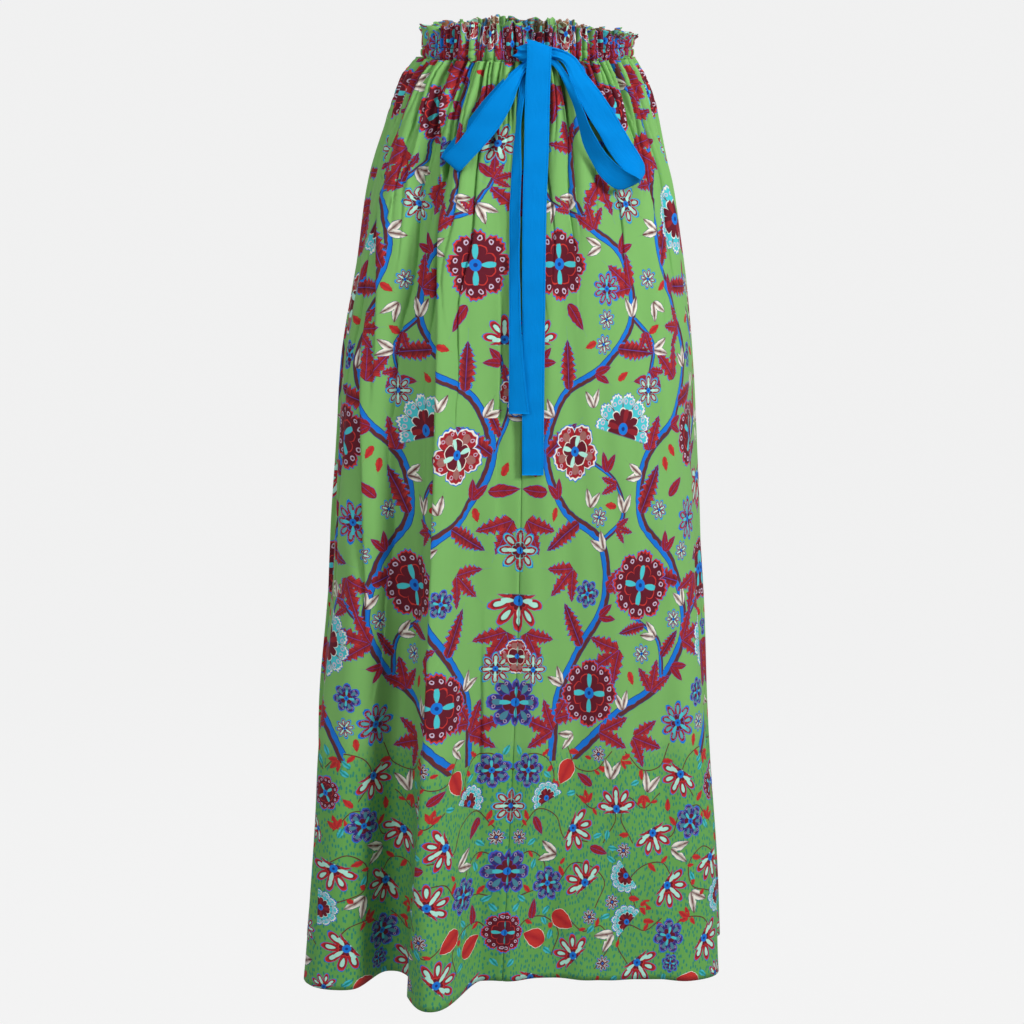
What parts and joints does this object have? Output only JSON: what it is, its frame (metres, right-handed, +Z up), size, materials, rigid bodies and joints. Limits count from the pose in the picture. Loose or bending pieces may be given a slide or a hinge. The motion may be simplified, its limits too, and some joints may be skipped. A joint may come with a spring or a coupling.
{
  "type": "gathered maxi skirt",
  "caption": "Full-length gathered skirt on an elasticated waist casing with a standing frill above it and a cotton tie in a bow at the front, shown filled out as worn.",
  "frame": {"origin": "middle of the waist casing, where the wearer's waist holds the skirt up", "axes": "+Z up, along the skirt from hem to waist; -Y is the front, where the bow is; +X is to the right as seen from the front"},
  "size_m": [0.4738, 0.4191, 1.0235],
  "materials": {
    "printed_cotton": "matt woven cotton poplin with an all-over flower print on green",
    "tie_cotton": "matt crisp blue cotton poplin, double layer, stitched edges"
  },
  "bodies": {
    "root": {"front_left": "printed_cotton", "front_right": "printed_cotton", "back_left": "printed_cotton", "back_right": "printed_cotton", "waist_casing": "printed_cotton", "header_ruffle": "printed_cotton", "tie_knot": "tie_cotton", "tie_loop_left": "tie_cotton", "tie_loop_right": "tie_cotton", "tie_tail_long": "tie_cotton", "tie_tail_short": "tie_cotton"}
  },
  "joints": []
}
